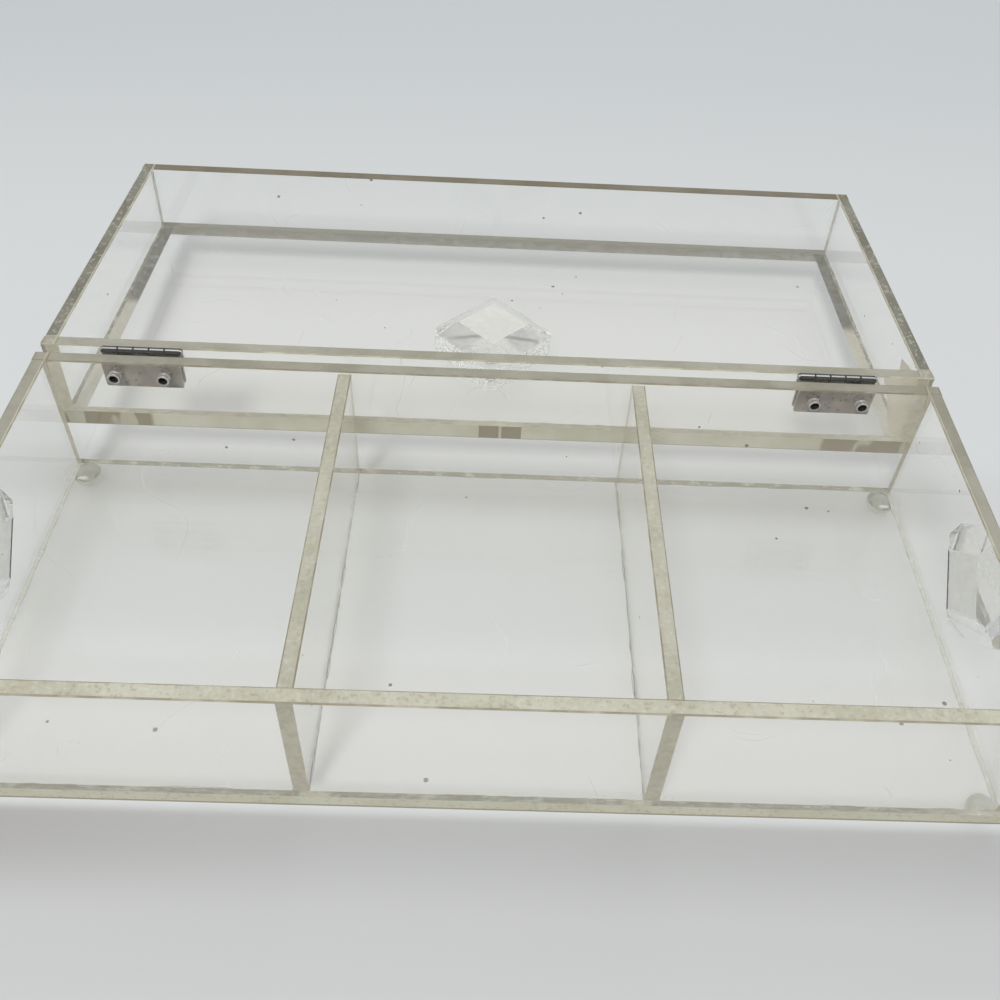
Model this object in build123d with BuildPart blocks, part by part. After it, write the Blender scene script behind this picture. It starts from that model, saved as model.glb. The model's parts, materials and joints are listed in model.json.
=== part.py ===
from build123d import *
from math import asin, cos, pi, sin
import os

os.makedirs("parts", exist_ok=True)

# Clear acrylic jewelry box: a tray with two dividers, and a lid folded right back behind it.
# Frame in mm: X to the right, Y to the back, Z up. The origin is on the table under the middle
# of the hinge axis. The lid is modelled as it lies when open, with its open side up. Its pieces
# are drawn level and then turned about the hinge axis, because the open lid droops a little.

# Outside sizes of the tray, shared by the lid
box_width = 300.0
box_depth = 127.0

# Acrylic sheets
wall_sheet = 4.5
divider_sheet = 4.4
tray_bottom_sheet = 5.2
lid_top_sheet = 6.2
tray_wall_height = 48.0
lid_wall_height = 27.0
divider_drop = 1.0
divider_offset = 48.5
edge_ease = 0.3
lid_border_width = 7.5
lid_border_depth = 0.5

# Bumper feet
foot_radius = 4.75
foot_height = 4.5
foot_inset = 6.2
foot_flat_radius = 2.4
foot_rings = 2

# Faceted diamond blocks: knob and side handles
block_side = 36.0
block_seat_side = 19.5
block_bevel_height = 4.6
block_edge_height = 8.1
knob_corner_cut = 3.2
handle_corner_cut = 7.1
handle_below_rim = 25.2

# Butt hinges
hinge_length = 25.5
hinge_from_end = 34.0
wall_gap = 4.0
closed_gap = 0.2
lid_droop = 2.4
leaf_sheet = 0.9
leaf_height = 12.1
leaf_corner_cut = 0.4
barrel_radius = 1.4
pin_radius = 0.75
pin_clearance = 0.05
knuckle_count = 5
knuckle_clearance = 0.12
notch_clearance = 0.35
pin_head_radius = 1.15
pin_head_thickness = 0.45

# Tubular rivets
rivet_spacing = 16.0
rivet_below_rim = 5.2
rivet_radius = 1.7
rivet_hole_clearance = 0.05
rivet_head_radius = 2.4
rivet_head_thickness = 0.9
rivet_collar_radius = 2.1
rivet_collar_length = 2.4

# Levels and edges that follow from the sizes above
half_width = box_width / 2
half_depth = box_depth / 2
hinge_x = half_width - hinge_from_end
bottom_z = foot_height
floor_z = bottom_z + tray_bottom_sheet
rim_z = floor_z + tray_wall_height
lid_panel_z = rim_z - lid_wall_height
lid_outside_z = lid_panel_z - lid_top_sheet
tray_middle_y = -wall_gap / 2 - half_depth
tray_near_y = tray_middle_y - half_depth
tray_far_y = tray_middle_y + half_depth
lid_middle_y = wall_gap / 2 + half_depth
lid_near_y = lid_middle_y - half_depth
lid_far_y = lid_middle_y + half_depth
axis_z = rim_z + closed_gap / 2
side_wall_length = box_depth - 2 * wall_sheet
rivet_z = rim_z - rivet_below_rim
rivet_xs = [side * hinge_x + step * rivet_spacing / 2 for side in (-1, 1) for step in (-1, 1)]


def save(part, name):
    """Names one finished piece and writes it to its own file."""
    part.label = name
    export_step(part, "parts/" + name + ".step")


def save_on_lid(part, name):
    """Turns one piece of the lid from level to its droop and saves it."""
    save(part.rotate(Axis((0, 0, axis_z), (1, 0, 0)), -lid_droop), name)


# Tray bottom: one sheet under all four walls, its edges flush with their outer faces
with BuildPart() as tray_bottom_panel:
    with BuildSketch(Plane.XY.offset(bottom_z)):
        with Locations((0, tray_middle_y)):
            Rectangle(box_width, box_depth)
    extrude(amount=tray_bottom_sheet)
    chamfer(tray_bottom_panel.edges().filter_by(Axis.Z), length=edge_ease)
save(tray_bottom_panel.part, "tray_bottom_panel")

# Tray front wall: full width, standing on the bottom
with BuildPart() as tray_front_wall:
    with BuildSketch(Plane.XY.offset(floor_z)):
        with Locations((0, tray_near_y + wall_sheet / 2)):
            Rectangle(box_width, wall_sheet)
    extrude(amount=tray_wall_height)
    chamfer(tray_front_wall.faces().sort_by(Axis.Z)[-1].edges().filter_by(Axis.X), length=edge_ease)
save(tray_front_wall.part, "tray_front_wall")

# Tray back wall: full width, drilled for the hinge rivets
with BuildPart() as tray_back_wall:
    with BuildSketch(Plane.XY.offset(floor_z)):
        with Locations((0, tray_far_y - wall_sheet / 2)):
            Rectangle(box_width, wall_sheet)
    extrude(amount=tray_wall_height)
    chamfer(tray_back_wall.faces().sort_by(Axis.Z)[-1].edges().filter_by(Axis.X), length=edge_ease)
    with BuildSketch(Plane(origin=(0, tray_far_y, rivet_z), x_dir=(1, 0, 0), z_dir=(0, -1, 0))):
        with Locations(*[(x, 0) for x in rivet_xs]):
            Circle(rivet_radius + rivet_hole_clearance)
    extrude(amount=wall_sheet, mode=Mode.SUBTRACT)
save(tray_back_wall.part, "tray_back_wall")

# Tray side walls: cut to fit between the front and back walls
for side, name in ((-1, "tray_left_wall"), (1, "tray_right_wall")):
    with BuildPart() as tray_side_wall:
        with BuildSketch(Plane.XY.offset(floor_z)):
            with Locations((side * (half_width - wall_sheet / 2), tray_middle_y)):
                Rectangle(wall_sheet, side_wall_length)
        extrude(amount=tray_wall_height)
        chamfer(tray_side_wall.faces().sort_by(Axis.Z)[-1].edges().filter_by(Axis.Y), length=edge_ease)
    save(tray_side_wall.part, name)

# Dividers: a little lower than the rim, running from the front wall to the back wall
for divider_x, name in ((-divider_offset, "left_divider"), (divider_offset, "right_divider")):
    with BuildPart() as divider:
        with BuildSketch(Plane.XY.offset(floor_z)):
            with Locations((divider_x, tray_middle_y)):
                Rectangle(divider_sheet, side_wall_length)
        extrude(amount=tray_wall_height - divider_drop)
        chamfer(divider.faces().sort_by(Axis.Z)[-1].edges().filter_by(Axis.Y), length=edge_ease)
    save(divider.part, name)

# Feet: low domes of clear rubber, flat side stuck to the bottom, with a small flat where they rest
foot_places = (
    (-1, -1, "foot_front_left"),
    (1, -1, "foot_front_right"),
    (-1, 1, "foot_back_left"),
    (1, 1, "foot_back_right"),
)
dome_start = asin(foot_flat_radius / foot_radius)
dome_angles = [dome_start + (pi / 2 - dome_start) * step / foot_rings for step in range(foot_rings + 1)]
dome_profile = [
    (foot_radius * sin(angle), foot_height * (1 - cos(angle) / cos(dome_start))) for angle in dome_angles
]
for side, end, name in foot_places:
    foot_x = side * (half_width - foot_inset)
    foot_y = tray_middle_y + end * (half_depth - foot_inset)
    with BuildPart() as foot:
        with BuildSketch(Plane(origin=(foot_x, foot_y, 0), x_dir=(1, 0, 0), z_dir=(0, -1, 0))):
            with BuildLine():
                Polyline((0, 0), *dome_profile, (0, foot_height), close=True)
            make_face()
        revolve(axis=Axis((foot_x, foot_y, 0), (0, 0, 1)))
    save(foot.part, name)

# Knob and side handles: one shape, a square block set corner-up, with its four corners cut off.
# A wide bevel narrows it towards a small square seat, which leaves a grip behind the wide part.
handle_z = rim_z - handle_below_rim
block_places = (
    ("left_side_handle", (-half_width, tray_middle_y, handle_z), (0, 1, 0), (-1, 0, 0), handle_corner_cut),
    ("right_side_handle", (half_width, tray_middle_y, handle_z), (0, 1, 0), (1, 0, 0), handle_corner_cut),
    ("lid_knob", (0, lid_middle_y, lid_outside_z), (1, 0, 0), (0, 0, -1), knob_corner_cut),
)
bevel_run = (block_side - block_seat_side) / 2
for name, seat_middle, across, outward, corner_cut in block_places:
    seat_plane = Plane(origin=seat_middle, x_dir=across, z_dir=outward)
    with BuildPart() as block:
        with BuildSketch(seat_plane):
            Rectangle(block_side, block_side, rotation=45)
        extrude(amount=block_bevel_height + block_edge_height)
        seat_face = block.faces().sort_by(Axis(seat_middle, outward))[0]
        chamfer(seat_face.edges(), length=bevel_run, length2=block_bevel_height, reference=seat_face)
        with BuildSketch(seat_plane) as outline_sketch:
            Rectangle(block_side, block_side, rotation=45)
            chamfer(outline_sketch.vertices(), length=corner_cut)
        extrude(amount=block_bevel_height + block_edge_height, mode=Mode.INTERSECT)
        chamfer(block.faces().sort_by(Axis(seat_middle, outward))[-1].edges(), length=edge_ease)
    if name == "lid_knob":
        save_on_lid(block.part, name)
    else:
        save(block.part, name)

# Lid top panel: full size sheet under the lid's walls while the lid lies open. A shallow bevel is
# ground along the border of its outside face.
with BuildPart() as lid_top_panel:
    with BuildSketch(Plane.XY.offset(lid_outside_z)):
        with Locations((0, lid_middle_y)):
            Rectangle(box_width, box_depth)
    extrude(amount=lid_top_sheet)
    lid_outside = lid_top_panel.faces().sort_by(Axis.Z)[0]
    chamfer(lid_outside.edges(), length=lid_border_width, length2=lid_border_depth, reference=lid_outside)
    chamfer(lid_top_panel.edges().filter_by(Axis.Z), length=edge_ease)
save_on_lid(lid_top_panel.part, "lid_top_panel")

# Lid front wall: the far one while the lid lies open
with BuildPart() as lid_front_wall:
    with BuildSketch(Plane.XY.offset(lid_panel_z)):
        with Locations((0, lid_far_y - wall_sheet / 2)):
            Rectangle(box_width, wall_sheet)
    extrude(amount=lid_wall_height)
    chamfer(lid_front_wall.faces().sort_by(Axis.Z)[-1].edges().filter_by(Axis.X), length=edge_ease)
save_on_lid(lid_front_wall.part, "lid_front_wall")

# Lid back wall: next to the tray, drilled for the hinge rivets
with BuildPart() as lid_back_wall:
    with BuildSketch(Plane.XY.offset(lid_panel_z)):
        with Locations((0, lid_near_y + wall_sheet / 2)):
            Rectangle(box_width, wall_sheet)
    extrude(amount=lid_wall_height)
    chamfer(lid_back_wall.faces().sort_by(Axis.Z)[-1].edges().filter_by(Axis.X), length=edge_ease)
    with BuildSketch(Plane(origin=(0, lid_near_y, rivet_z), x_dir=(-1, 0, 0), z_dir=(0, 1, 0))):
        with Locations(*[(x, 0) for x in rivet_xs]):
            Circle(rivet_radius + rivet_hole_clearance)
    extrude(amount=wall_sheet, mode=Mode.SUBTRACT)
save_on_lid(lid_back_wall.part, "lid_back_wall")

# Lid side walls: cut to fit between the lid's front and back walls
for side, name in ((-1, "lid_left_wall"), (1, "lid_right_wall")):
    with BuildPart() as lid_side_wall:
        with BuildSketch(Plane.XY.offset(lid_panel_z)):
            with Locations((side * (half_width - wall_sheet / 2), lid_middle_y)):
                Rectangle(wall_sheet, side_wall_length)
        extrude(amount=lid_wall_height)
        chamfer(lid_side_wall.faces().sort_by(Axis.Z)[-1].edges().filter_by(Axis.Y), length=edge_ease)
    save_on_lid(lid_side_wall.part, name)

# Hinge leaves: pressed plates whose top edge rolls into knuckles round the pin. The tray's leaf
# has knuckles 1, 3 and 5 and the lid's leaf 2 and 4; each is notched where the other's turn.
knuckle_pitch = hinge_length / knuckle_count
knuckle_length = knuckle_pitch - knuckle_clearance
notch_depth = barrel_radius + notch_clearance
leaf_outer = wall_gap / 2
leaf_inner = leaf_outer - leaf_sheet
for hinge_side, hinge_name in ((-1, "left"), (1, "right")):
    for toward, owner, own_knuckles in ((-1, "tray", (0, 2, 4)), (1, "lid", (1, 3))):
        start_x = hinge_side * hinge_x - hinge_length / 2
        with BuildPart() as leaf:
            # the flat plate, standing against the outer face of the wall
            with BuildSketch(Plane.XY.offset(axis_z - leaf_height)):
                with Locations((hinge_side * hinge_x, toward * (leaf_outer - leaf_sheet / 2))):
                    Rectangle(hinge_length, leaf_sheet)
            extrude(amount=leaf_height - notch_depth)
            chamfer(leaf.edges().filter_by(Axis.Y).group_by(Axis.Z)[0], length=leaf_corner_cut)
            # each knuckle: its strip of plate bending into a ring round the pin
            for number in own_knuckles:
                knuckle_x = start_x + number * knuckle_pitch + knuckle_clearance / 2
                ring_plane = Plane(
                    origin=(knuckle_x, 0, axis_z), x_dir=(0, 1, 0), z_dir=(1, 0, 0)
                )
                with BuildSketch(ring_plane):
                    Circle(barrel_radius)
                    with BuildLine():
                        Polyline(
                            (toward * leaf_outer, -notch_depth),
                            (toward * leaf_outer, -0.9),
                            (toward * 1.3, -0.2),
                            (toward * leaf_inner, -0.5),
                            (toward * leaf_inner, -notch_depth),
                            close=True,
                        )
                    make_face()
                    Circle(pin_radius + pin_clearance, mode=Mode.SUBTRACT)
                extrude(amount=knuckle_length)
            # holes for the two rivets
            hole_plane = Plane(
                origin=(hinge_side * hinge_x, toward * leaf_inner, rivet_z),
                x_dir=(1, 0, 0),
                z_dir=(0, toward, 0),
            )
            with BuildSketch(hole_plane):
                with Locations((-rivet_spacing / 2, 0), (rivet_spacing / 2, 0)):
                    Circle(rivet_radius + rivet_hole_clearance)
            extrude(amount=leaf_sheet, mode=Mode.SUBTRACT)
        if owner == "lid":
            save_on_lid(leaf.part, hinge_name + "_hinge_lid_leaf")
        else:
            save(leaf.part, hinge_name + "_hinge_tray_leaf")

# Hinge pins: a rod through all five knuckles, with both ends riveted over into small heads
for hinge_side, hinge_name in ((-1, "left"), (1, "right")):
    start_x = hinge_side * hinge_x - hinge_length / 2 + knuckle_clearance / 2
    pin_length = hinge_length - knuckle_clearance
    with BuildPart() as pin:
        with BuildSketch(Plane(origin=(start_x, 0, axis_z), x_dir=(0, 1, 0), z_dir=(1, 0, 0))):
            Circle(pin_radius)
        extrude(amount=pin_length)
        for end_x, direction in ((start_x, -1), (start_x + pin_length, 1)):
            with BuildSketch(
                Plane(origin=(end_x, 0, axis_z), x_dir=(0, 1, 0), z_dir=(direction, 0, 0))
            ):
                Circle(pin_head_radius)
            extrude(amount=pin_head_thickness)
    save(pin.part, hinge_name + "_hinge_pin")

# Tubular rivets: a flat head on the leaf, a tube through leaf and wall, and a rolled collar on the
# wall's inner face. With the lid folded back the heads of facing leaves meet, which stops it.
through_length = leaf_sheet + wall_sheet
for hinge_side, hinge_name in ((-1, "left"), (1, "right")):
    for toward, owner in ((-1, "tray"), (1, "lid")):
        head_y = toward * (leaf_inner - rivet_head_thickness)
        with BuildPart() as rivets:
            for step in (-1, 1):
                rivet_x = hinge_side * hinge_x + step * rivet_spacing / 2
                head_plane = Plane(
                    origin=(rivet_x, head_y, rivet_z), x_dir=(1, 0, 0), z_dir=(0, toward, 0)
                )
                with BuildSketch(head_plane):
                    Circle(rivet_head_radius)
                extrude(amount=rivet_head_thickness)
                with BuildSketch(head_plane.offset(rivet_head_thickness)):
                    Circle(rivet_radius)
                extrude(amount=through_length)
                with BuildSketch(head_plane.offset(rivet_head_thickness + through_length)):
                    Circle(rivet_collar_radius)
                extrude(amount=rivet_collar_length)
        if owner == "lid":
            save_on_lid(rivets.part, hinge_name + "_hinge_lid_rivets")
        else:
            save(rivets.part, hinge_name + "_hinge_tray_rivets")
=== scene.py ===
import json
from math import cos, pi, radians, sin

import bmesh
import bpy
from mathutils import Matrix, Vector


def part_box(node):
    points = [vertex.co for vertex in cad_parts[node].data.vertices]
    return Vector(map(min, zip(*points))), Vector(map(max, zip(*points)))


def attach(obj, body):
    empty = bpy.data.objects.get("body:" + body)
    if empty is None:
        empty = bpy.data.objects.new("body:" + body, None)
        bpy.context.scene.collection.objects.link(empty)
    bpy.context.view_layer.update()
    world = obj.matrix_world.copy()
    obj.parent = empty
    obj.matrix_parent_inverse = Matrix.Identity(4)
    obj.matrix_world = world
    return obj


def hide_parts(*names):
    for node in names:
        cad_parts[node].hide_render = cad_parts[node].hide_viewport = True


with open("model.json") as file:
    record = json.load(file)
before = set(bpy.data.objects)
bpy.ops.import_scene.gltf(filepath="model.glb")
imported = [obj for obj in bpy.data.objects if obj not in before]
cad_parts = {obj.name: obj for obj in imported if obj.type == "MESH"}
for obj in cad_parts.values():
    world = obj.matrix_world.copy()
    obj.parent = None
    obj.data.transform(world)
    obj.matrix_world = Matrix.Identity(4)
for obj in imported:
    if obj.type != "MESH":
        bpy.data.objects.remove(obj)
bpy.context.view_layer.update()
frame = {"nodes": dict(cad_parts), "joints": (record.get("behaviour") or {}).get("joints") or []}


# Tray bottom panel. A plain acrylic sheet the full size of the tray, yellowed with age, its four
# edges left as the saw cut them. Everything else on the tray stands on it or is glued to it.
class Wire:
    """One value in a material. The usual operators on it add the nodes that work them out."""

    def __init__(self, finish, socket):
        self.finish = finish
        self.socket = socket

    def math(self, operation, first, second=0.0):
        return self.finish.node("ShaderNodeMath", {"operation": operation}, {0: first, 1: second})

    def __add__(self, other):
        return self.math("ADD", self, other)

    def __radd__(self, other):
        return self.math("ADD", other, self)

    def __sub__(self, other):
        return self.math("SUBTRACT", self, other)

    def __rsub__(self, other):
        return self.math("SUBTRACT", other, self)

    def __mul__(self, other):
        return self.math("MULTIPLY", self, other)

    def __rmul__(self, other):
        return self.math("MULTIPLY", other, self)

    def __gt__(self, other):
        return self.math("GREATER_THAN", self, other)

    def __lt__(self, other):
        return self.math("LESS_THAN", self, other)

    def __or__(self, other):
        return self.math("MAXIMUM", self, other)

    def __abs__(self):
        return self.math("ABSOLUTE", self)


class Finish:
    """The nodes of one material, or of the room's light, and the one way of adding to them."""

    def __init__(self, owner):
        self.owner = owner
        owner.use_nodes = True
        self.tree = owner.node_tree
        self.tree.nodes.clear()

    def node(self, kind, settings=None, values=None, out=0):
        """Adds a node of this kind, sets it, and gives its sockets their values or links."""
        made = self.tree.nodes.new(kind)
        for key, value in (settings or {}).items():
            setattr(made, key, value)
        for key, value in (values or {}).items():
            if isinstance(value, Wire):
                self.tree.links.new(value.socket, made.inputs[key])
            else:
                made.inputs[key].default_value = value
        return Wire(self, made.outputs[out]) if len(made.outputs) else None

    def place(self, middle=(0.0, 0.0, 0.0), turn=(0.0, 0.0, 0.0)):
        """Where a point of the piece is, in millimetres from middle, on axes turned by turn."""
        here = self.node("ShaderNodeTexCoord", out="Object")
        values = {"Vector": here, "Location": middle, "Rotation": turn, "Scale": (mm, mm, mm)}
        return self.node("ShaderNodeMapping", {"vector_type": "TEXTURE"}, values)

    def split(self, vector):
        parts = self.node("ShaderNodeSeparateXYZ", {}, {0: vector})
        return [Wire(self, output) for output in parts.socket.node.outputs]

    def noise(self, vector, scale, detail=3.0, rough=0.5, stretch=(1.0, 1.0, 1.0)):
        """An even cloud pattern. Scale is in lumps to the millimetre."""
        wide = self.node("ShaderNodeMapping", {}, {"Vector": vector, "Scale": stretch})
        values = {"Vector": wide, "Scale": scale, "Detail": detail, "Roughness": rough}
        return self.node("ShaderNodeTexNoise", {}, values)

    def between(self, value, low, high, to_low=0.0, to_high=1.0):
        """Goes smoothly from to_low to to_high while value goes from low to high."""
        values = {0: value, 1: low, 2: high, 3: to_low, 4: to_high}
        return self.node("ShaderNodeMapRange", {"interpolation_type": "SMOOTHSTEP"}, values)

    def specks(self, vector, spacing, small, large):
        """Scattered spots. Spacing is in millimetres and the two radii are shares of it."""
        cells = self.node("ShaderNodeTexVoronoi", {}, {"Vector": vector, "Scale": 1.0 / spacing})
        chance = self.split(Wire(self, cells.socket.node.outputs["Color"]))
        return (cells < small + chance[0] * (large - small)) * (chance[1] > 0.55)

    def colours(self, factor, first, second):
        values = {0: factor, 6: first, 7: second}
        return self.node("ShaderNodeMix", {"data_type": "RGBA"}, values, out=2)

    def bump(self, height, strength, distance):
        values = {"Strength": strength, "Distance": distance, "Height": height}
        return self.node("ShaderNodeBump", {}, values)

    def surface(self, **sockets):
        values = {key.replace("_", " "): value for key, value in sockets.items()}
        return self.node("ShaderNodeBsdfPrincipled", {}, values)

    def glass(self, bend, **sockets):
        return self.surface(IOR=bend, Transmission_Weight=1.0, **sockets)

    def passing(self, colour):
        """Lets the light go straight through, tinted."""
        return self.node("ShaderNodeBsdfTransparent", {}, {"Color": colour})

    def glow(self, colour):
        """Lets the light through and scatters it, as frost does."""
        return self.node("ShaderNodeBsdfTranslucent", {}, {"Color": colour})

    def depth(self, colour, density):
        """The colour that the inside of a clear piece takes with its thickness."""
        return self.node("ShaderNodeVolumeAbsorption", {}, {"Color": colour, "Density": density})

    def layer(self, factor, under, over):
        return self.node("ShaderNodeMixShader", {}, {0: factor, 1: under, 2: over})

    def light_rays(self):
        """The rays that look for a lamp, and those that leave a dull surface."""
        shadow = self.node("ShaderNodeLightPath", out="Is Shadow Ray")
        return shadow, Wire(self, shadow.socket.node.outputs["Is Diffuse Ray"])

    def done(self, shader, depth=None):
        values = {"Surface": shader}
        if depth is not None:
            values["Volume"] = depth
        self.node("ShaderNodeOutputMaterial", {}, values)
        return self.owner


def new_finish(name):
    return Finish(bpy.data.materials.new(name))


def dress(names, material):
    for name in names:
        slots = nodes[name].data.materials
        slots.clear()
        slots.append(material)


def span(name, lift=0.0):
    """A piece's low and high corner in millimetres, after a turn of lift about the hinge axis."""
    turn = Matrix.Rotation(lift, 4, "X")
    turn = Matrix.Translation(hinge_axis) @ turn @ Matrix.Translation(-hinge_axis)
    points = [turn @ vertex.co / mm for vertex in nodes[name].data.vertices]
    low = Vector([min(point[axis] for point in points) for axis in range(3)])
    high = Vector([max(point[axis] for point in points) for axis in range(3)])
    return low, high


def acrylic(
    finish, point, sawn, pale, tanned_and_shaded, scuffed, glued, outline, frosted, matched,
    shade=0.0, heavy=0.0, stain=0.0,
):
    """Clear yellowed sheet. The masks mark sawn edges, how pale and how scuffed they are and where
    they are browned, by tan and by painted shade, glue joints and their outlines, frosted faces,
    places where something clear is stuck on with no air between, how dark the frosted faces are
    and where a sawn edge casts a heavy shadow, and a smear of glue."""
    clear = finish.glass(1.49, Base_Color=(1.0, 1.0, 1.0, 1), Roughness=0.0)
    # a thin film of dust and smears, hairline scratches and specks of dirt lie on every face
    smear = finish.noise(point, 0.012, 3.0, 0.6, (1.0, 1.6, 1.0))
    film = finish.between(smear, 0.42, 0.75, 0.004, 0.03)
    hair = abs(finish.noise(point, 0.017, 1.5, 0.4) - 0.5) < 0.0008
    patchy = finish.between(finish.noise(point, 0.045, 2.0, 0.5, (1.0, 1.0, 1.7)), 0.56, 0.62)
    dust = finish.surface(Base_Color=(0.80, 0.80, 0.78, 1), Roughness=0.9)
    shader = finish.layer(film + hair * patchy * 0.16, clear, dust)
    dirt = finish.surface(Base_Color=(0.17, 0.14, 0.11, 1), Roughness=0.8)
    shader = finish.layer(finish.specks(point, 13.0, 0.02, 0.06) * 0.75, shader, dirt)
    # sawn edges: cloudy and lit from within, with fine saw lines, scuffs, brown dirt and painted shade
    patches = finish.between(finish.noise(point, 0.05, 4.0, 0.6), 0.35, 0.65)
    saw = finish.noise(point, 0.7, 4.0, 0.65)
    scuffs = finish.between(saw, 0.52, 0.66, 0.0, 0.42) * scuffed
    lodged = finish.between(saw, 0.44, 0.36, 0.0, 0.55) * scuffed
    olive = finish.colours(patches, (0.165, 0.158, 0.122, 1), (0.235, 0.227, 0.183, 1))
    cream = finish.colours(patches, (0.66, 0.64, 0.50, 1), (0.80, 0.78, 0.65, 1))
    tone = finish.colours(pale, olive, cream)
    tone = finish.colours(scuffs, tone, (0.80, 0.79, 0.72, 1))
    tone = finish.colours(lodged, tone, (0.27, 0.235, 0.16, 1))
    tone = finish.colours(tanned_and_shaded, tone, (0.19, 0.145, 0.07, 1))
    face = finish.surface(Base_Color=tone, Roughness=0.45, Normal=finish.bump(saw, 0.15, 0.0002))
    glow = finish.glow((0.70, 0.67, 0.55, 1))
    shader = finish.layer(sawn, shader, finish.layer(pale * 0.4, face, glow))
    # glue joints: the light goes straight on, because the glue has melted the sheets together
    seam = finish.surface(Base_Color=(0.76, 0.755, 0.68, 1), Roughness=0.6)
    through = finish.passing((0.975, 0.975, 0.95, 1))
    bubbles = finish.between(finish.noise(point, 0.25, 3.0, 0.6), 0.45, 0.7, 0.18, 0.45)
    shader = finish.layer(glued, shader, finish.layer(bubbles, through, seam))
    line = finish.surface(Base_Color=(0.30, 0.295, 0.25, 1), Roughness=0.6)
    shader = finish.layer(outline * 0.5, shader, line)
    # dry joints stay frosted, and are tan where dirt crept in
    grey = finish.colours(patches, (0.59, 0.555, 0.45, 1), (0.70, 0.665, 0.57, 1))
    grey = finish.colours(shade, grey, (0.085, 0.082, 0.062, 1))
    frost = finish.layer(0.45 - shade * 0.4, finish.surface(Base_Color=grey, Roughness=0.6), glow)
    gaps = finish.between(finish.noise(point, 0.35, 3.0, 0.6), 0.4, 0.7, 0.86, 0.66)
    shader = finish.layer(frosted, shader, finish.layer(gaps, through, frost))
    shader = finish.layer(matched, shader, through)
    glue = finish.surface(Base_Color=(0.66, 0.58, 0.44, 1), Roughness=0.5)
    shader = finish.layer(stain * 0.8, shader, finish.layer(0.5, glue, glow))
    # light from the lamps and from the table passes straight through, dimmed by the sawn edges
    shadow, diffuse = finish.light_rays()
    lit = finish.passing((0.985, 0.985, 0.983, 1))
    dim = finish.passing((0.52, 0.51, 0.48, 1))
    dark = finish.passing((0.10, 0.10, 0.10, 1))
    cast = finish.layer(shadow * (sawn | frosted), lit, finish.layer(heavy, dim, dark))
    shader = finish.layer(shadow | diffuse, shader, cast)
    return finish.done(shader, finish.depth((0.86, 0.81, 0.55, 1), 8.0))


nodes = frame["nodes"]
hinge = frame["joints"][0]
hinge_axis = Vector(hinge["pos_m"])
mm = 0.001

# the tray's sizes, in millimetres
bottom_low, bottom_high = span("tray_bottom_panel")
wall_low, wall_high = span("tray_front_wall")
divider_low, divider_high = span("right_divider")
handle_low, handle_high = span("right_side_handle")
foot_low, foot_high = span("foot_back_right")
half_width = bottom_high.x
half_depth = (bottom_high.y - bottom_low.y) / 2
tray_middle = (bottom_high.y + bottom_low.y) / 2
wall = wall_high.y - wall_low.y
inner_width = half_width - wall
inner_depth = half_depth - wall
underside, floor = bottom_low.z, bottom_high.z
rim, divider_rim = wall_high.z, divider_high.z
divider_middle = (divider_low.x + divider_high.x) / 2
divider_half = (divider_high.x - divider_low.x) / 2
handle_height = (handle_low.z + handle_high.z) / 2
foot_across = (foot_low.y + foot_high.y) / 2 - tray_middle
foot_along = (foot_low.x + foot_high.x) / 2
seat_reach = 13.8
foot_seat_radius = 4.743
broken_edge = 0.34
# a point lies on a face when it is this near to the face's level, and a mask that stops at an edge
# stops the second amount short of it
touch = 0.02
whisker = 0.01

tray_sheet = new_finish("tray_acrylic")
point = tray_sheet.place()
x, y, z = tray_sheet.split(point)
along = abs(x)
across = abs(y - tray_middle)
wander = tray_sheet.noise(point, 0.07, 2.0, 0.5) * 2.4
at_front = y < wall_high.y + 0.1
at_dividers = (along < 60.0) * (across < inner_depth)
under_dividers = abs(along - divider_middle) < divider_half
on_floor = abs(z - floor) < touch

# where the saw cut: the rims, the edges of the panel and the ends of the long walls
in_rim = z > rim - broken_edge
in_divider_rim = (z > divider_rim - broken_edge) * (along < 60.0) * (across < inner_depth - whisker)
panel_edge = (z < floor - whisker) * ((along > half_width - 0.4) | (across > half_depth - 0.4))
wall_ends = (along > half_width - touch) * (across > inner_depth) * (z > floor)
side_edge = panel_edge * (across < half_depth - 0.5)
sawn = in_rim | in_divider_rim | panel_edge * (1.0 - side_edge * 0.7) | wall_ends

# where the walls and dividers are glued down, and where the glue ran out beside them
glued = on_floor * ((along > inner_width - whisker) | (across > inner_depth - whisker) | under_dividers)
glue_line = (
    (abs(across - (inner_depth - 1.0) - wander) < 0.16)
    | (abs(along - (inner_width - 1.1) - wander) < 0.16)
    | (abs(abs(along - divider_middle) - 1.0 - wander) < 0.14)
) * on_floor
front_joint = glued * at_front * 0.4
joined = (along > inner_width) | under_dividers * (z < divider_rim)
end_joints = (abs(across - inner_depth) < touch) * (z > floor) * joined

# where a handle or a foot is stuck on
handle_reach = across + abs(z - handle_height)
handle_seat = (abs(along - half_width) < touch) * (handle_reach < seat_reach - whisker)
off_x, off_y = along - foot_along, across - foot_across
foot_seat = (abs(z - underside) < touch) * (off_x * off_x + off_y * off_y < foot_seat_radius**2)

# the front wall and the dividers are paler and more scuffed, the far edge of the panel is darkest
below_rims = (z > divider_rim - broken_edge) * (z < divider_rim - whisker) * (along < 60.0)
arris = below_rims | in_rim * (z < rim - whisker)
back_edge = panel_edge * (y > bottom_high.y - 2.0)
inner_line = in_rim * (abs(along - inner_width - 0.25) < 0.4)
pale = 0.22 + at_front * 0.48 + at_dividers * 0.3 + panel_edge * 0.6
pale = pale - back_edge * 0.6 + arris * 0.3 + inner_line * 0.6
scuffed = 0.15 + at_front * 0.75 + at_dividers * 0.45
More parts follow.
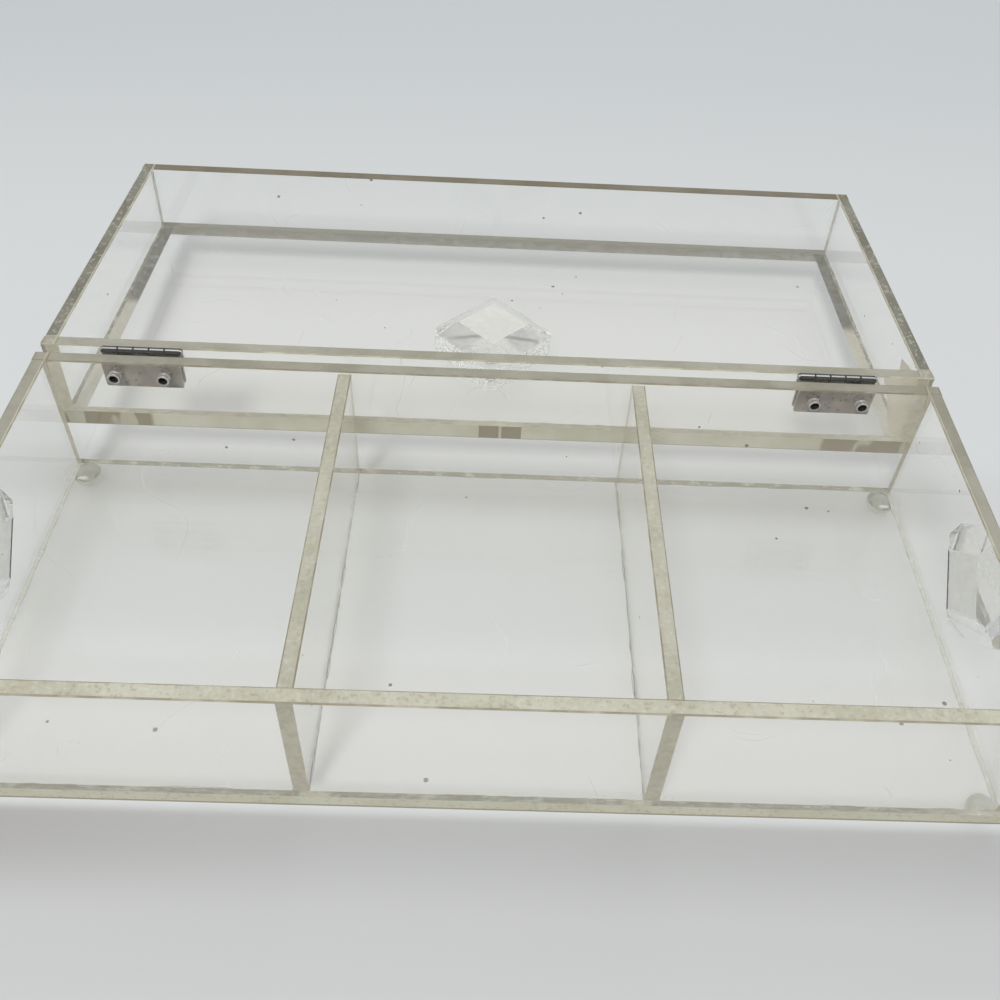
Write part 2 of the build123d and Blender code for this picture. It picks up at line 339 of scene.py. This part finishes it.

# the rims are browner along their two borders, in patches: painted shade for the dark lines at their
# edges, with dirt lodged there as well
borders = (
    (abs(across - (half_depth - wall / 2)) > 1.8) * (across > inner_depth)
    | (abs(along - (half_width - wall / 2)) > 1.8) * (along > inner_width - 0.5)
    | (abs(along - divider_middle) > 1.8) * at_dividers
) * sawn * (z > rim - 7.7)
tanned_and_shaded = borders * tray_sheet.between(tray_sheet.noise(point, 0.15, 2.0, 0.5), 0.3, 0.6, 0.3, 0.8)
tanned_and_shaded = tanned_and_shaded | panel_edge * (across > half_depth - 0.4) * (z < underside + 0.8)
tray_acrylic = acrylic(
    tray_sheet,
    point,
    sawn=sawn,
    pale=pale,
    tanned_and_shaded=tanned_and_shaded,
    scuffed=scuffed,
    glued=glued,
    outline=glue_line,
    frosted=end_joints | front_joint,
    matched=handle_seat | foot_seat,
)
dress(["tray_bottom_panel"], tray_acrylic)

# Tray walls. Strips of the same sheet glued on the bottom panel: the front and back ones run the
# full width and the side ones fit between them. The rims were sawn and never polished.
dress(["tray_front_wall", "tray_back_wall", "tray_left_wall", "tray_right_wall"], tray_acrylic)

# Dividers. Two more strips of the sheet that part the tray in three. They are a little lower than
# the rim, and glued to the bottom and between the front and the back wall.
dress(["left_divider", "right_divider"], tray_acrylic)


# Feet. Clear rubber bumpers, moulded as low domes with a flat to stand on. One is stuck on by its
# own adhesive under each corner of the bottom panel, a little in from the edges.
def piece(name, mesh, material):
    """Makes an object of a finished mesh, at the origin."""
    shape = bpy.data.meshes.new(name)
    mesh.to_mesh(shape)
    mesh.free()
    shape.materials.append(material)
    made = bpy.data.objects.new(name, shape)
    bpy.context.scene.collection.objects.link(made)
    return made


foot_rubber = new_finish("clear_rubber")
point = foot_rubber.place()
x, y, z = foot_rubber.split(point)
hazy = foot_rubber.between(foot_rubber.noise(point, 0.6), 0.3, 0.7, 0.05, 0.16)
rubber = foot_rubber.glass(1.45, Base_Color=(0.93, 0.94, 0.90, 1), Roughness=hazy)
rubber = foot_rubber.layer(0.5, rubber, foot_rubber.glow((0.90, 0.90, 0.87, 1)))
stuck = z > underside - touch
rubber = foot_rubber.layer(stuck, rubber, foot_rubber.passing((0.96, 0.96, 0.94, 1)))
# a painted highlight: the window's shine as a thin crescent near the front of each foot
off_x = (abs(x) - foot_along - 0.5) * 0.45
off_y = abs(y - tray_middle + 2.9) - foot_across
crescent = off_x * off_x + off_y * off_y < 0.7
shine = foot_rubber.surface(Base_Color=(0.97, 0.97, 0.97, 1), Roughness=0.5)
rubber = foot_rubber.layer(stuck * crescent * 0.55, rubber, shine)
shadow, diffuse = foot_rubber.light_rays()
rubber = foot_rubber.layer(shadow | diffuse, rubber, foot_rubber.passing((0.88, 0.88, 0.86, 1)))
clear_rubber = foot_rubber.done(rubber)
flat_radius = 2.4 * mm
dome_rings, dome_steps = 16, 48
for name in ("foot_front_left", "foot_front_right", "foot_back_left", "foot_back_right"):
    low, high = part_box(name)
    middle = (low + high) / 2
    radius = (high.x - low.x) / 2
    height = high.z - low.z
    mesh = bmesh.new()
    profile = [mesh.verts.new((0, 0, 0))]
    start = flat_radius / radius
    for ring in range(dome_rings + 1):
        turn = start + (pi / 2 - start) * ring / dome_rings
        rise = height * (1 - cos(turn) / cos(start))
        profile.append(mesh.verts.new((radius * sin(turn), 0, rise)))
    profile.append(mesh.verts.new((0, 0, height)))
    lines = [mesh.edges.new(pair) for pair in zip(profile, profile[1:])]
    bmesh.ops.spin(
        mesh, geom=profile + lines, cent=(0, 0, 0), axis=(0, 0, 1), angle=2 * pi, steps=dome_steps,
        use_merge=True,
    )
    bmesh.ops.remove_doubles(mesh, verts=mesh.verts, dist=1e-6)
    bmesh.ops.recalc_face_normals(mesh, faces=mesh.faces)
    bmesh.ops.translate(mesh, verts=mesh.verts, vec=(middle.x, middle.y, low.z))
    dome = piece(name + "_dome", mesh, clear_rubber)
    for face in dome.data.polygons:
        face.use_smooth = abs(face.normal.z) < 0.99
    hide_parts(name)
    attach(dome, "tray")


# Side handles. Thick acrylic blocks, bevelled on the back to a small square seat and polished, each
# glued by that seat to the middle of a side wall with a corner up.
def block_acrylic(finish, point, seat, ragged, milky, dusty, dark_reflections, painted_glints):
    """Clear polished block. The masks mark the seat and its ragged rim of froth, painted dark
    reflections and painted white glints. milky is how white the glue is and dusty how much dust lies on
    the block."""
    clear = finish.glass(1.49, Base_Color=(1.0, 1.0, 1.0, 1), Roughness=0.0)
    dust = finish.surface(Base_Color=(0.88, 0.89, 0.88, 1), Roughness=0.8)
    film = finish.between(finish.noise(point, 0.09, 3.0, 0.6), 0.3, 0.7, 0.0, dusty)
    shader = finish.layer(film, clear, dust)
    # the glue on the seat is full of fine air bubbles, with a few specks caught in it
    through = finish.passing((0.98, 0.98, 0.97, 1))
    white = finish.surface(Base_Color=(0.96, 0.97, 0.96, 1), Roughness=0.5)
    cloud = finish.noise(point, 0.14, 4.0, 0.6)
    froth = finish.between(cloud, 0.3, 0.7, milky * 0.8, milky) | ragged * 0.75
    froth_face = finish.layer(0.5, white, finish.glow((0.97, 0.98, 0.97, 1)))
    glue = finish.layer(froth, through, froth_face)
    grit = finish.surface(Base_Color=(0.25, 0.22, 0.18, 1), Roughness=0.8)
    glue = finish.layer(finish.specks(point, 6.0, 0.03, 0.10) * 0.6, glue, grit)
    shader = finish.layer(seat, shader, glue)
    # the cut sides carry painted dark reflections in places, and painted white glints in others
    shader = finish.layer(painted_glints, shader, white)
    line = finish.surface(Base_Color=(0.05, 0.05, 0.05, 1), Roughness=0.3)
    shader = finish.layer(dark_reflections, shader, line)
    shadow, diffuse = finish.light_rays()
    shader = finish.layer(shadow | diffuse, shader, finish.passing((0.94, 0.94, 0.94, 1)))
    return finish.done(shader, finish.depth((0.90, 0.90, 0.84, 1), 1.0))


# how far the blocks reach to just inside their cut corners
cut_corner = 20.3

handle_block = new_finish("handle_acrylic")
point = handle_block.place()
x, y, z = handle_block.split(point)
reach = abs(y - tray_middle) + abs(z - handle_height)
thick = abs(x) - half_width
fine = handle_block.noise(point, 0.8, 3.0, 0.6)
seat = (abs(thick) < touch) * (reach < seat_reach)
ragged = seat * (reach + handle_block.noise(point, 0.5, 2.0, 0.6) * 3.0 > seat_reach + 0.4)
# painted dark reflections under the back of the seat and on the back cut, painted glints on the bottom
# cut
under_back = seat * (reach + fine * 0.9 > seat_reach - 0.9) * (y > tray_middle) * (z < handle_height)
back_cut = (y - tray_middle > cut_corner) * (abs(abs(thick - 6.6) - 1.8) < 0.75) * 0.7
foot_cut = (handle_height - z > cut_corner) * (abs(abs(thick - 7.0) - 2.0) < 0.7) * (fine > 0.45)
dress(
    ["left_side_handle", "right_side_handle"],
    block_acrylic(
        handle_block,
        point,
        seat,
        ragged,
        milky=0.62,
        dusty=0.04,
        dark_reflections=under_back | back_cut,
        painted_glints=foot_cut * 0.8,
    ),
)

# Lid panel and walls. The same sheet, cut lower: four walls glued on the panel as on the tray.
# Folded back, the lid droops a little past level, so its pattern is read on axes turned with it.
droop = radians(180.0 - hinge["range_deg"][1])
axis_height = hinge_axis.z
lid_place = (0.0, axis_height * sin(droop), axis_height * (1 - cos(droop)))
panel_low, panel_high = span("lid_top_panel", -droop)
lid_middle = (panel_low.y + panel_high.y) / 2
near_face = panel_low.y
near_inner = near_face + wall
far_inner = panel_high.y - wall
outside, hollow = panel_low.z, panel_high.z
bevel_width, bevel_depth = 7.5, 0.5

lid_sheet = new_finish("lid_acrylic")
point = lid_sheet.place(lid_place, (droop, 0.0, 0.0))
x, y, z = lid_sheet.split(point)
along = abs(x)
across = abs(y - lid_middle)
wander = lid_sheet.noise(point, 0.07, 2.0, 0.5) * 2.4
on_hollow = abs(z - hollow) < touch

# where the saw cut: the rims, the edges of the panel and the ends of the long walls
in_rim = z > rim - broken_edge
below_edge = (z < hollow - whisker) * (z > outside + bevel_depth + whisker)
panel_edge = below_edge * ((along > half_width - 0.4) | (across > half_depth - 0.4))
wall_ends = (along > half_width - touch) * (across > inner_depth) * (z > hollow)
sawn = in_rim | panel_edge | wall_ends

# where the walls are glued on, where the glue ran out beside them, and where the knob sits
glued = on_hollow * ((along > inner_width - whisker) | (across > inner_depth - whisker))
glue_line = (
    (abs(across - (inner_depth - 1.0) - wander) < 0.16)
    | (abs(along - (inner_width - 1.1) - wander) < 0.16)
) * on_hollow
far_line = on_hollow * (y > far_inner - 0.9) * (along < inner_width)
near_joint = glued * (y < near_inner) * 0.7
dry = 1.0 - (y > 60.0) * 0.6
end_joints = (abs(across - inner_depth) < touch) * (z > hollow) * (along > inner_width) * dry
knob_seat = (abs(z - outside) < touch) * (along + across < seat_reach - whisker)

# the ground bevel round the outside, darkest at the far edge and on the far half of the sides
border = (z < outside + bevel_depth + touch) * (
    (along > half_width - bevel_width + touch) | (across > half_depth - bevel_width + touch)
)
sides = lid_sheet.between(y, 66.0, 74.0, 0.1, 0.95) | (x < 0.0) * 0.3
shade = border * ((y > far_inner - 3.0) * 0.8 | (along > half_width - bevel_width + touch) * sides)
heavy = border | in_rim * (y > 100.0)

# the near wall is paler, and so are the rims along the inner edge of the side walls
short_of_far = y < far_inner - 4.5
arris = in_rim * (z < rim - whisker)
pale = (y < near_face + 5.0) * 0.30 + (y < near_face + 0.5) * 0.42 + arris * 0.3 * short_of_far
pale = pale + in_rim * (abs(along - inner_width - 0.25) < 0.4) * 0.8
scuffed = 0.2 + (along > inner_width) * in_rim * 0.6

# the near edge of the panel is tanned brown in patches at its ends and in its middle
streaks = lid_sheet.noise(point, 0.11, 2.0, 0.4, (1.0, 0.3, 0.5))
at_patches = lid_sheet.between(along, 117.0, 119.0) | (abs(abs(x - 3.5) - 4.0) < 3.5)
streaked = lid_sheet.between(streaks, 0.54, 0.60, 1.0, 0.3)
patched = (y < near_face + 0.4) * at_patches * panel_edge * streaked
# the rims are browner along their two borders here too, in patches: painted shade for the dark lines at
# their edges, with dirt
borders = (
    (abs(across - (half_depth - wall / 2)) > 1.8) * (across > inner_depth)
    | (abs(along - (half_width - wall / 2)) > 1.8) * (along > inner_width - 0.5)
)
cloudy = lid_sheet.between(lid_sheet.noise(point, 0.15, 2.0, 0.5), 0.3, 0.6, 0.15, 0.6)
borders = borders * in_rim * short_of_far * cloudy
edge_line = panel_edge * (z < outside + 0.85) * 0.6
tanned_and_shaded = patched | borders | edge_line | in_rim * (y > far_inner - 0.5) * 0.4

# glue was smeared beside the back corner, on the right wall and on the back one
on_right_wall = (abs(x - inner_width) < 0.05) * (y > near_inner - 0.1)
right_smear = (y - z * 0.28 + wander * 1.2 < 6.8) * (z + y * 0.24 < 57.0)
on_back_wall = (abs(y - near_inner) < 0.05) * (x < inner_width) * (z > hollow + touch)
back_smear = x + z * 0.35 + wander > 154.5
lid_acrylic = acrylic(
    lid_sheet,
    point,
    sawn=sawn,
    pale=pale,
    tanned_and_shaded=tanned_and_shaded,
    scuffed=scuffed,
    glued=glued,
    outline=glue_line | far_line * 1.7,
    frosted=end_joints | border | near_joint,
    matched=knob_seat,
    shade=shade,
    heavy=heavy,
    stain=on_right_wall * right_smear | on_back_wall * back_smear,
)
lid_walls = ["lid_front_wall", "lid_back_wall", "lid_left_wall", "lid_right_wall"]
dress(["lid_top_panel"] + lid_walls, lid_acrylic)

# Lid knob. A polished block like the handles, with its seat glued to the middle of the lid's
# outside. It is seen through the lid panel and hangs under it while the lid is folded back.
knob_block = new_finish("knob_acrylic")
point = knob_block.place(lid_place, (droop, 0.0, 0.0))
x, y, z = knob_block.split(point)
reach = abs(x) + abs(y - lid_middle)
fine = knob_block.noise(point, 0.6, 3.0, 0.6)
seat = (abs(z - outside) < touch) * (reach < seat_reach)
ragged = seat * (reach + knob_block.noise(point, 0.4, 2.0, 0.6) * 4.0 > seat_reach + 0.7)
# painted dark reflections at the ends, painted glints along the sides
ends = (abs(x) > 23.0) * (fine > 0.52) * 0.7
sides = (reach > 25.2) * knob_block.between(fine, 0.42, 0.58, 0.15, 0.75)
dress(
    ["lid_knob"],
    block_acrylic(
        knob_block, point, seat, ragged, milky=0.9, dusty=0.15, dark_reflections=ends, painted_glints=sides
    ),
)

# Hinge leaves. Pressed nickel-plated steel, dulled to grey, with the long edge rolled into
# knuckles. They stand flat against the outer faces of the two facing walls.
leaf_low, leaf_high = span("right_hinge_tray_leaf")
hinge_middle = (leaf_low.x + leaf_high.x) / 2
knuckle = (leaf_high.x - leaf_low.x) / 5

leaf_metal = new_finish("dull_nickel")
point = leaf_metal.place()
x, y, z = leaf_metal.split(point)
brushed = leaf_metal.noise(point, 1.2, 4.0, 0.7, (1.0, 1.0, 0.05))
tarnish = leaf_metal.between(leaf_metal.noise(point, 0.12, 3.0, 0.6), 0.35, 0.65)
grey = leaf_metal.colours(tarnish, (0.42, 0.385, 0.345, 1), (0.54, 0.50, 0.455, 1))
spots = leaf_metal.specks(point, 1.6, 0.10, 0.30)
grey = leaf_metal.colours(spots * 0.5, grey, (0.12, 0.10, 0.08, 1))
plate = leaf_metal.surface(
    Base_Color=grey,
    Metallic=0.35,
    Roughness=leaf_metal.between(brushed, 0.3, 0.7, 0.34, 0.50),
    Normal=leaf_metal.bump(brushed, 0.08, 0.0001),
)
# the rolled knuckles have a dark polish that stands for a dark room's reflection, and a painted
# highlight along the top, but for their gaps
turned = leaf_metal.noise(point, 1.5, 3.0, 0.6, (1.0, 0.1, 0.1))
dark = leaf_metal.colours(turned, (0.05, 0.048, 0.045, 1), (0.15, 0.145, 0.135, 1))
from_middle = abs(abs(x) - hinge_middle)
between_gaps = (abs(from_middle - knuckle * 0.5) > 0.3) * (abs(from_middle - knuckle * 1.5) > 0.3)
# painted highlight: a bright line along the top of each knuckle
painted_highlight_line = (z > 58.5) * (abs(y + 0.5) < 0.26) * between_gaps
dark = leaf_metal.colours(painted_highlight_line, dark, (0.88, 0.87, 0.84, 1))
rolled = leaf_metal.surface(
    Base_Color=dark,
    Metallic=0.9,
    Roughness=leaf_metal.between(turned, 0.3, 0.7, 0.06, 0.14),
    Coat_Weight=0.7,
    Coat_Roughness=0.06,
)
dull_nickel = leaf_metal.done(leaf_metal.layer(z > 56.2, plate, rolled))
leaves = [side + "_hinge_" + owner + "_leaf" for side in ("left", "right") for owner in ("tray", "lid")]
dress(leaves, dull_nickel)

# Hinge pins. Steel wire through the five knuckles of each hinge, plated like the leaves and
# riveted over into a small head at each end, which keeps the pin in.
dress(["left_hinge_pin", "right_hinge_pin"], dull_nickel)

# Rivets. Tubular steel rivets: a flat head on the leaf, a bright tube through the wall, and its
# open end rolled outwards into a collar on the wall's inner face.
rivet_low, rivet_high = span("right_hinge_tray_rivets")
rivet_height = (rivet_low.z + rivet_high.z) / 2
rivet_offset = 8.0

rivet_metal = new_finish("rivet_steel")
point = rivet_metal.place()
x, y, z = rivet_metal.split(point)
speck = rivet_metal.noise(point, 2.0, 3.0, 0.6)
worn = rivet_metal.between(speck, 0.4, 0.7)
grey = rivet_metal.colours(worn, (0.66, 0.64, 0.60, 1), (0.42, 0.39, 0.34, 1))
# painted shade inside the tube and where the rivet meets the leaf
from_axis = abs(abs(abs(x) - hinge_middle) - rivet_offset)
above_axis = z - rivet_height
in_tube = from_axis * from_axis + above_axis * above_axis < 2.1
painted_shade = (abs(y) < 2.6) | in_tube
grey = rivet_metal.colours(painted_shade * 0.85, grey, (0.05, 0.045, 0.04, 1))
polish = rivet_metal.between(speck, 0.3, 0.7, 0.18, 0.4)
bright_rivet = rivet_metal.done(
    rivet_metal.surface(Base_Color=grey, Metallic=0.7, Roughness=polish)
)


def rivet_shape(mesh, along, height, toward, turn):
    """Adds one rivet, spun about its own axis and turned about the hinge axis with its body.
    toward is -1 for a rivet that goes through the tray's wall and 1 for the lid's."""
    # radius and distance from the hinge axis: the head, the shank, the rolled collar and the bore
    outline = [
        (0.0, 0.2), (1.9, 0.2), (2.25, 0.32), (2.4, 0.6), (2.4, 1.0), (2.3, 1.1), (1.7, 1.1),
        (1.7, 6.48), (1.9, 6.51), (2.08, 6.56), (2.1, 6.75), (2.0, 6.98), (1.82, 7.15), (1.76, 7.4),
        (1.8, 7.65), (1.98, 7.85), (2.09, 8.1), (2.1, 8.35), (2.02, 8.62), (1.86, 8.82), (1.68, 8.89),
        (1.52, 8.78), (1.45, 8.5), (1.42, 3.6), (0.0, 3.6),
    ]
    line = [mesh.verts.new((radius * mm, reach * mm, 0)) for radius, reach in outline]
    edges = [mesh.edges.new(pair) for pair in zip(line, line[1:])]
    bmesh.ops.spin(
        mesh, geom=line + edges, cent=(0, 0, 0), axis=(0, 1, 0), angle=2 * pi, steps=40, use_merge=True
    )
    # the rivet made before this one is tagged, and stays where it is
    rivet = [vertex for vertex in mesh.verts if not vertex.tag]
    if toward < 0:
        bmesh.ops.scale(mesh, verts=rivet, vec=(1, -1, 1))
    bmesh.ops.translate(mesh, verts=rivet, vec=(along * mm, 0, height * mm))
    about_hinge = Matrix.Rotation(turn, 3, "X")
    bmesh.ops.rotate(mesh, verts=rivet, cent=(0, 0, axis_height), matrix=about_hinge)
    for vertex in rivet:
        vertex.tag = True


for side, sign in (("left", -1), ("right", 1)):
    for owner, toward, turn in (("tray", -1, 0.0), ("lid", 1, droop)):
        node = side + "_hinge_" + owner + "_rivets"
        mesh = bmesh.new()
        for offset in (-rivet_offset, rivet_offset):
            rivet_shape(mesh, sign * hinge_middle + offset, rivet_height, toward, turn)
        bmesh.ops.remove_doubles(mesh, verts=mesh.verts, dist=1e-6)
        bmesh.ops.recalc_face_normals(mesh, faces=mesh.faces)
        rivets = piece(node + "_tubular", mesh, bright_rivet)
        for face in rivets.data.polygons:
            face.use_smooth = True
        rivets.data.set_sharp_from_angle(angle=radians(40))
        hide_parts(node)
        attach(rivets, owner)

# Table. A smooth pale sheet that runs under the box and far back behind it. It is a little lighter
# under the box, a painted light, greyer in front of it and at the hinges, a painted shadow, and
# greyer towards the back.
table_size = 6.0
pale_grey = (0.67, 0.685, 0.685, 1)
painted_light_grey = (0.76, 0.77, 0.77, 1)
hinge_shadow_grey = (0.58, 0.59, 0.585, 1)
far_grey = (0.60, 0.63, 0.64, 1)
front_shadow_greys = (0.44, 0.432, 0.425, 1), (0.49, 0.495, 0.49, 1), (0.56, 0.565, 0.56, 1)

table_paint = new_finish("pale_table")
x, y, z = table_paint.split(table_paint.place())
beside = table_paint.between(abs(x), 220.0, 152.0)
far = table_paint.between(y, 120.0, 420.0)
# painted light under the front of the tray and under the lid
under = table_paint.between(y, -60.0, -95.0) * table_paint.between(y, -127.0, -124.0) * beside
back = table_paint.between(abs(y - 68.0), 62.0, 46.0) * table_paint.between(abs(x), 165.0, 135.0)
# painted shadow at the hinges, between the tray and the lid
middle = table_paint.between(abs(y), 24.0, 6.0) * beside
# painted shadow in front of the box, darkest near it and towards its left
front = table_paint.between(y, -127.0, -131.0) * table_paint.between(y, -240.0, -158.0) * beside
front_shadow = table_paint.colours(table_paint.between(x, -150.0, -20.0), front_shadow_greys[0], front_shadow_greys[1])
front_shadow = table_paint.colours(table_paint.between(y, -138.0, -160.0), front_shadow, front_shadow_greys[2])
grey = table_paint.colours(under, pale_grey, painted_light_grey)
grey = table_paint.colours(back, grey, painted_light_grey)
grey = table_paint.colours(middle, grey, hinge_shadow_grey)
grey = table_paint.colours(front, grey, front_shadow)
grey = table_paint.colours(far, grey, far_grey)
pale_table = table_paint.done(table_paint.surface(Base_Color=grey, Roughness=0.75))
mesh = bmesh.new()
bmesh.ops.create_grid(mesh, x_segments=1, y_segments=1, size=table_size)
table = piece("table", mesh, pale_table)

# Lamps and room. A small soft lamp in front, above and a little to the left, a weak wide one behind
# the box, and an even pale room that is brighter overhead.
for name, spot, size, power in (
    ("lamp", (-0.38, -1.09, 1.51), 0.32, 16.0),
    ("window", (0.5, 1.0, 1.3), 1.2, 5.0),
):
    lamp = bpy.data.lights.new(name, "AREA")
    lamp.shape = "SQUARE"
    lamp.size = size
    lamp.energy = power
    holder = bpy.data.objects.new(name, lamp)
    bpy.context.scene.collection.objects.link(holder)
    holder.location = spot
    holder.rotation_euler = (-Vector(spot)).to_track_quat("-Z", "Y").to_euler()
    holder.visible_glossy = False
    holder.visible_transmission = False

room = Finish(bpy.data.worlds.new("room"))
upward = room.split(room.node("ShaderNodeTexCoord", out="Generated"))[2]
brightness = room.between(upward, 0.93, 0.985, 0.62, 1.8)
sky = room.node("ShaderNodeBackground", {}, {"Color": (0.79, 0.80, 0.81, 1), "Strength": brightness})
room.node("ShaderNodeOutputWorld", {}, {"Surface": sky})
bpy.context.scene.world = room.owner

# Camera. Held by hand low over the front of the tray, looking down into it and a little aslant.
# Its place, turn and lens are those that the corners of the box have in the photograph.
camera_place = (-0.00108, -0.26107, 0.28008)
yaw, pitch, roll = radians(2.164), radians(-44.088), radians(3.656)
view = bpy.data.cameras.new("camera")
view.sensor_width = 36.0
view.lens = 36.91
view.shift_x = -0.0147
view.shift_y = -0.068
view.clip_start = 0.01
camera = bpy.data.objects.new("camera", view)
bpy.context.scene.collection.objects.link(camera)
ahead = Vector((sin(yaw) * cos(pitch), cos(yaw) * cos(pitch), sin(pitch)))
level = ahead.cross(Vector((0, 0, 1))).normalized()
upright = level.cross(ahead)
right = cos(roll) * level + sin(roll) * upright
top = cos(roll) * upright - sin(roll) * level
turned = Matrix((right, top, -ahead)).transposed().to_4x4()
camera.matrix_world = Matrix.Translation(camera_place) @ turned
bpy.context.scene.camera = camera

bpy.context.scene.view_settings.view_transform = "Standard"
bpy.context.scene.cycles.max_bounces = 24
bpy.context.scene.cycles.transmission_bounces = 24
bpy.context.scene.cycles.transparent_max_bounces = 48
bpy.context.scene.cycles.glossy_bounces = 8
